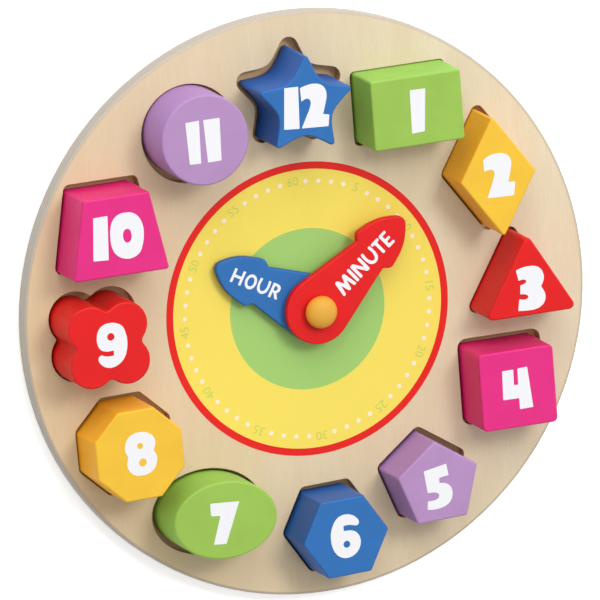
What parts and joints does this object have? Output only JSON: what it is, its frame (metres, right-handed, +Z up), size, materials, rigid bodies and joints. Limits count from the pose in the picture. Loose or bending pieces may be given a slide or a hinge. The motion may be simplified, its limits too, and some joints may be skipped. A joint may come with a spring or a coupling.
{
  "type": "toy clock",
  "caption": "Round wooden shape-sorting toy clock with loose numbered blocks in matching recesses and two hands turning over a printed dial.",
  "frame": {"origin": "centre of the board's flat underside", "axes": "+Z up out of the dial, +Y towards twelve o'clock, +X towards three o'clock"},
  "size_m": [0.299, 0.2989, 0.037],
  "materials": {
    "birch": "birch plywood under a matt clear coat",
    "fibre": "pressed fibre sheet",
    "orange_paint": "turned wood under satin yellow-orange paint",
    "blue_paint": "wood under satin blue paint",
    "green_paint": "wood under satin green paint",
    "yellow_paint": "wood under satin yellow paint",
    "red_paint": "wood under satin red paint",
    "pink_paint": "wood under satin pink paint",
    "purple_paint": "wood under satin light purple paint"
  },
  "bodies": {
    "board": {"face_board": "birch", "back_board": "birch", "centre_peg": "orange_paint", "lower_washer": "fibre", "upper_washer": "fibre"},
    "hour_hand": {"hour_hand": "blue_paint"},
    "minute_hand": {"minute_hand": "red_paint"},
    "block_12_star": {"block_12_star": "blue_paint"},
    "block_01_rectangle": {"block_01_rectangle": "green_paint"},
    "block_02_rhombus": {"block_02_rhombus": "yellow_paint"},
    "block_03_triangle": {"block_03_triangle": "red_paint"},
    "block_04_square": {"block_04_square": "pink_paint"},
    "block_05_pentagon": {"block_05_pentagon": "purple_paint"},
    "block_06_hexagon": {"block_06_hexagon": "blue_paint"},
    "block_07_ellipse": {"block_07_ellipse": "green_paint"},
    "block_08_octagon": {"block_08_octagon": "yellow_paint"},
    "block_09_quatrefoil": {"block_09_quatrefoil": "red_paint"},
    "block_10_trapezoid": {"block_10_trapezoid": "pink_paint"},
    "block_11_circle": {"block_11_circle": "purple_paint"}
  },
  "joints": [
    {"name": "hour_hand_turn", "type": "hinge", "parent": "board", "child": "hour_hand", "pos_m": [0.00325, -0.0023, 0.0133], "axis": [0, 0, 1], "continuous": true},
    {"name": "minute_hand_turn", "type": "hinge", "parent": "board", "child": "minute_hand", "pos_m": [0.00325, -0.0023, 0.0189], "axis": [0, 0, 1], "continuous": true},
    {"name": "block_12_star_lift", "type": "slide", "parent": "board", "child": "block_12_star", "axis": [0, 0, 1], "range_m": [0, 0.045]},
    {"name": "block_01_rectangle_lift", "type": "slide", "parent": "board", "child": "block_01_rectangle", "axis": [0, 0, 1], "range_m": [0, 0.045]},
    {"name": "block_02_rhombus_lift", "type": "slide", "parent": "board", "child": "block_02_rhombus", "axis": [0, 0, 1], "range_m": [0, 0.045]},
    {"name": "block_03_triangle_lift", "type": "slide", "parent": "board", "child": "block_03_triangle", "axis": [0, 0, 1], "range_m": [0, 0.045]},
    {"name": "block_04_square_lift", "type": "slide", "parent": "board", "child": "block_04_square", "axis": [0, 0, 1], "range_m": [0, 0.045]},
    {"name": "block_05_pentagon_lift", "type": "slide", "parent": "board", "child": "block_05_pentagon", "axis": [0, 0, 1], "range_m": [0, 0.045]},
    {"name": "block_06_hexagon_lift", "type": "slide", "parent": "board", "child": "block_06_hexagon", "axis": [0, 0, 1], "range_m": [0, 0.045]},
    {"name": "block_07_ellipse_lift", "type": "slide", "parent": "board", "child": "block_07_ellipse", "axis": [0, 0, 1], "range_m": [0, 0.045]},
    {"name": "block_08_octagon_lift", "type": "slide", "parent": "board", "child": "block_08_octagon", "axis": [0, 0, 1], "range_m": [0, 0.045]},
    {"name": "block_09_quatrefoil_lift", "type": "slide", "parent": "board", "child": "block_09_quatrefoil", "axis": [0, 0, 1], "range_m": [0, 0.045]},
    {"name": "block_10_trapezoid_lift", "type": "slide", "parent": "board", "child": "block_10_trapezoid", "axis": [0, 0, 1], "range_m": [0, 0.045]},
    {"name": "block_11_circle_lift", "type": "slide", "parent": "board", "child": "block_11_circle", "axis": [0, 0, 1], "range_m": [0, 0.045]}
  ]
}
